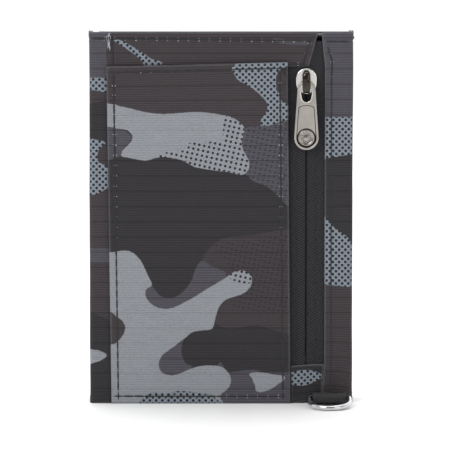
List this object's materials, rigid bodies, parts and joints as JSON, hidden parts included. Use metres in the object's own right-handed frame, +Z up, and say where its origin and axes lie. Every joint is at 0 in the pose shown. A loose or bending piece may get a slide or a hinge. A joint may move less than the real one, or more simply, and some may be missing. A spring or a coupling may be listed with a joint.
{
  "type": "trifold wallet",
  "caption": "Folded fabric trifold wallet with a camouflage outside, a slip pocket, a zipped coin pocket on the back and a D-ring on a webbing loop.",
  "frame": {"origin": "bottom centre of the box round the whole part, ring included, on the surface that the wallet stands on", "axes": "+Z up along the wallet's height, +X to the right as seen from the zip side, -Y out of the zip side"},
  "size_m": [0.088, 0.0318, 0.125],
  "materials": {
    "camo_ripstop": "woven ripstop with a printed camouflage of light grey, blue-grey, brown-grey and near black, matte",
    "lining": "plain black woven lining, matte",
    "zip_tape": "black woven zip tape, matte",
    "zip_coil": "black nylon coil",
    "zip_stop": "black moulded stop",
    "webbing": "black flat webbing, matte",
    "nickel": "warm nickel plate, polished, slightly worn",
    "pull_disc": "dark nickel disc with a plain raised pattern",
    "chrome_ring": "polished wire",
    "board": "plain stiffening board",
    "clear_film": "clear soft film",
    "loop_patch": "black loop fastener, soft pile",
    "hook_patch": "black hook fastener"
  },
  "bodies": {
    "centre_panel": {"back_shell": "camo_ripstop", "slip_pocket": "camo_ripstop", "zip_facing": "camo_ripstop", "zip_end_tab": "camo_ripstop", "zip_tape_left": "zip_tape", "zip_tape_right": "zip_tape", "zip_coil_left": "zip_coil", "zip_coil_right": "zip_coil", "zip_top_stops": "zip_stop", "zip_bottom_stop": "zip_stop", "coin_pocket_gusset": "lining", "coin_pocket_lining": "lining", "bill_pocket_gusset": "lining", "bill_pocket_lining": "lining", "centre_stiffener": "board", "centre_card_backing": "lining", "centre_card_slot_upper": "lining", "centre_card_slot_middle": "lining", "centre_card_slot_lower": "lining", "webbing_loop": "webbing"},
    "slider": {"slider_body": "nickel", "slider_crown": "nickel"},
    "pull": {"pull_tab": "nickel", "pull_disc": "pull_disc"},
    "ring": {"d_ring": "chrome_ring"},
    "left_fold": {"left_fold_shell": "camo_ripstop", "left_fold_lining": "lining"},
    "inner_flap": {"inner_flap_shell": "camo_ripstop", "inner_flap_stiffener": "board", "inner_flap_lining": "lining", "inner_flap_card_slot_upper": "lining", "inner_flap_card_slot_lower": "lining", "loop_patch": "loop_patch"},
    "right_fold": {"right_fold_shell": "camo_ripstop", "right_fold_lining": "lining"},
    "outer_flap": {"outer_flap_shell": "camo_ripstop", "outer_flap_stiffener": "board", "outer_flap_lining": "lining", "id_window_frame": "lining", "id_window_film": "clear_film", "hook_patch": "hook_patch"}
  },
  "joints": [
    {"name": "right_fold_crease", "type": "hinge", "parent": "centre_panel", "child": "right_fold", "pos_m": [0.0434, 0.00148, 0.0625], "axis": [0, 0, -1], "range_deg": [0, 90]},
    {"name": "outer_flap_crease", "type": "hinge", "parent": "right_fold", "child": "outer_flap", "pos_m": [0.0434, 0.01528, 0.0625], "axis": [0, 0, -1], "range_deg": [0, 90]},
    {"name": "left_fold_crease", "type": "hinge", "parent": "centre_panel", "child": "left_fold", "pos_m": [-0.0434, 0.00148, 0.0625], "axis": [0, 0, 1], "range_deg": [0, 45]},
    {"name": "inner_flap_crease", "type": "hinge", "parent": "left_fold", "child": "inner_flap", "pos_m": [-0.0434, 0.01239, 0.0625], "axis": [0, 0, 1], "range_deg": [0, 45]},
    {"name": "zip_slide", "type": "slide", "parent": "centre_panel", "child": "slider", "axis": [0, 0, -1], "range_m": [0, 0.082]},
    {"name": "pull_hinge", "type": "hinge", "parent": "slider", "child": "pull", "pos_m": [0.0284, -0.00142, 0.1078], "axis": [-1, 0, 0], "range_deg": [0, 175]},
    {"name": "ring_hinge", "type": "hinge", "parent": "centre_panel", "child": "ring", "pos_m": [0.0362, -0.00402, 0.0026], "axis": [-1, 0, 0], "range_deg": [-110, 98]}
  ],
  "couplings": [
    {"joint": "outer_flap_crease", "follows": "right_fold_crease", "ratio": 1},
    {"joint": "left_fold_crease", "follows": "right_fold_crease", "ratio": 0.5},
    {"joint": "inner_flap_crease", "follows": "right_fold_crease", "ratio": 0.5}
  ]
}
